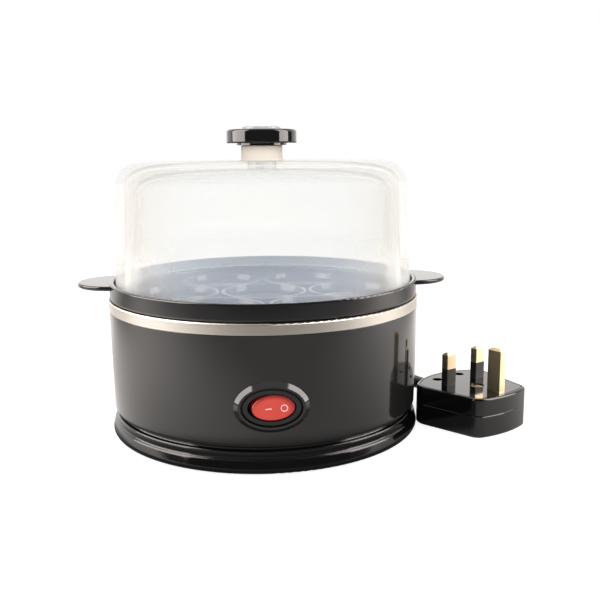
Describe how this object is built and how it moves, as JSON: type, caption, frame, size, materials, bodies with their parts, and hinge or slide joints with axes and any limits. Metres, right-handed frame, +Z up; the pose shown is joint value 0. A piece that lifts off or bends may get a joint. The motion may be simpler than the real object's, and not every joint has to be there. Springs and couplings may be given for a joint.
{
  "type": "egg cooker",
  "caption": "Round electric egg cooker with a translucent domed lid, eared egg tray, steel band, rocker switch and mains lead; steams eggs over a heated water pan.",
  "frame": {"origin": "on the table under the cooker's axis, at the feet's lower faces", "axes": "+Z up along the lid's axis, the switch faces -Y, the tray's ears lie along X"},
  "size_m": [0.2306, 0.2869, 0.1547],
  "materials": {
    "shell_black": "glossy black moulded housing",
    "plinth_black": "satin black moulded base",
    "tray_black": "glossy black moulded tray",
    "lid_clear": "smoky translucent moulding",
    "knob_black": "polished black moulding",
    "cap_pale": "pale grey satin button",
    "band_steel": "brushed round the band",
    "pan_steel": "drawn and satin finished",
    "screw_steel": "zinc plated fasteners",
    "spreader_aluminium": "turned aluminium",
    "element_steel": "heat darkened sheath",
    "terminal_brass": "bright brass",
    "ceramic": "unglazed ceramic body",
    "fuse_white": "ceramic cartridge",
    "switch_black": "satin black bezel and can",
    "rocker_red": "translucent red rocker",
    "lamp_glass": "neon lamp bulb",
    "seal_rubber": "grey silicone ring",
    "foot_rubber": "black rubber",
    "cord_black": "black flexible sheath",
    "tie_black": "black band tie",
    "plug_black": "glossy black plug moulding",
    "sleeve_black": "black pin sleeves",
    "clamp_nylon": "natural nylon",
    "wire_brown": "brown insulation",
    "wire_blue": "blue insulation",
    "wire_earth": "green insulation with a yellow stripe"
  },
  "bodies": {
    "base": {"base_plinth": "plinth_black", "rubber_feet": "foot_rubber", "base_screws": "screw_steel", "body_shell": "shell_black", "steel_band": "band_steel", "heating_pan": "pan_steel", "pan_seal": "seal_rubber", "heat_spreader": "spreader_aluminium", "heating_element": "element_steel", "element_terminals": "terminal_brass", "pan_studs": "screw_steel", "stud_nuts": "screw_steel", "thermostat": "ceramic", "thermostat_screws": "screw_steel", "thermal_fuse": "fuse_white", "switch_housing": "switch_black", "rocker_pivot": "screw_steel", "switch_terminals": "terminal_brass", "pilot_lamp": "lamp_glass", "supply_live_wire": "wire_brown", "switched_live_wire": "wire_brown", "fuse_supply_wire": "wire_brown", "fuse_element_wire": "wire_brown", "neutral_wire": "wire_blue", "earth_wire": "wire_earth", "strain_relief": "cord_black", "inner_lead": "cord_black", "cord_clamp": "clamp_nylon", "clamp_screws": "screw_steel", "cord_lead": "cord_black", "cord_coil": "cord_black", "cord_tail": "cord_black", "cord_tie": "tie_black", "plug_base": "plug_black", "plug_cover": "plug_black", "plug_earth_pin": "terminal_brass", "plug_live_pin": "terminal_brass", "plug_neutral_pin": "terminal_brass", "plug_pin_sleeves": "sleeve_black", "plug_cover_screw": "terminal_brass", "plug_fuse": "fuse_white"},
    "tray": {"egg_tray": "tray_black"},
    "lid": {"lid": "lid_clear", "knob": "knob_black", "knob_cap": "cap_pale", "knob_washer": "screw_steel", "knob_screw": "screw_steel"},
    "rocker": {"switch_rocker": "rocker_red"}
  },
  "joints": [
    {"name": "tray_lift", "type": "slide", "parent": "base", "child": "tray", "axis": [0, 0, 1], "range_m": [0, 0.06]},
    {"name": "lid_lift", "type": "slide", "parent": "tray", "child": "lid", "axis": [0, 0, 1], "range_m": [0, 0.1]},
    {"name": "rocker_tip", "type": "hinge", "parent": "base", "child": "rocker", "pos_m": [0, -0.07597, 0.032], "axis": [0, 0, -1], "range_deg": [0, 16]}
  ]
}
